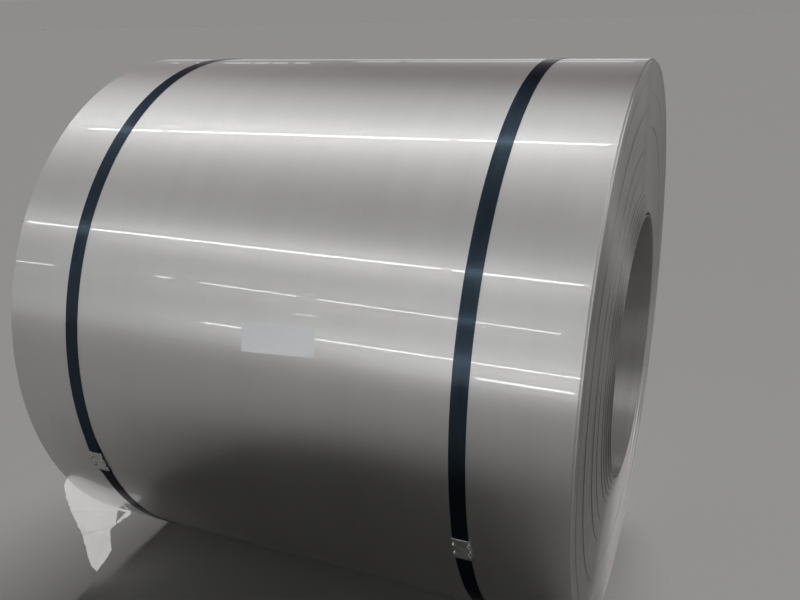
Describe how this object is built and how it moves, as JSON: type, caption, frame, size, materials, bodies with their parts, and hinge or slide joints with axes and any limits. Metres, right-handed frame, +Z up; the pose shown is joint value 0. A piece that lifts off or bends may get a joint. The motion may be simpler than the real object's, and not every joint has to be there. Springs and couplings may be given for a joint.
{
  "type": "steel coil",
  "caption": "Strapped coil of bare stainless steel strip lying on its side, with an open bore, stepped turns on its ends, crimped strap seals, a blank label and a torn paper edge.",
  "frame": {"origin": "on the floor, under the middle of the coil's axis", "axes": "+X along the coil's axis, towards the end that the picture shows; +Z up; -Y is the side that carries the label and the seals"},
  "size_m": [1.2746, 1.3015, 1.3028],
  "materials": {
    "strip": "cold rolled mill finish, soft mirror",
    "strap": "blue-black lacquer, satin gloss",
    "seal": "dull galvanised sheet",
    "label": "smooth coated paper",
    "paper": "matt uncoated paper"
  },
  "bodies": {
    "root": {"coil": "strip", "left_strap": "strap", "right_strap": "strap", "left_seal": "seal", "right_seal": "seal", "label": "label", "interleaf_paper": "paper"}
  },
  "joints": []
}
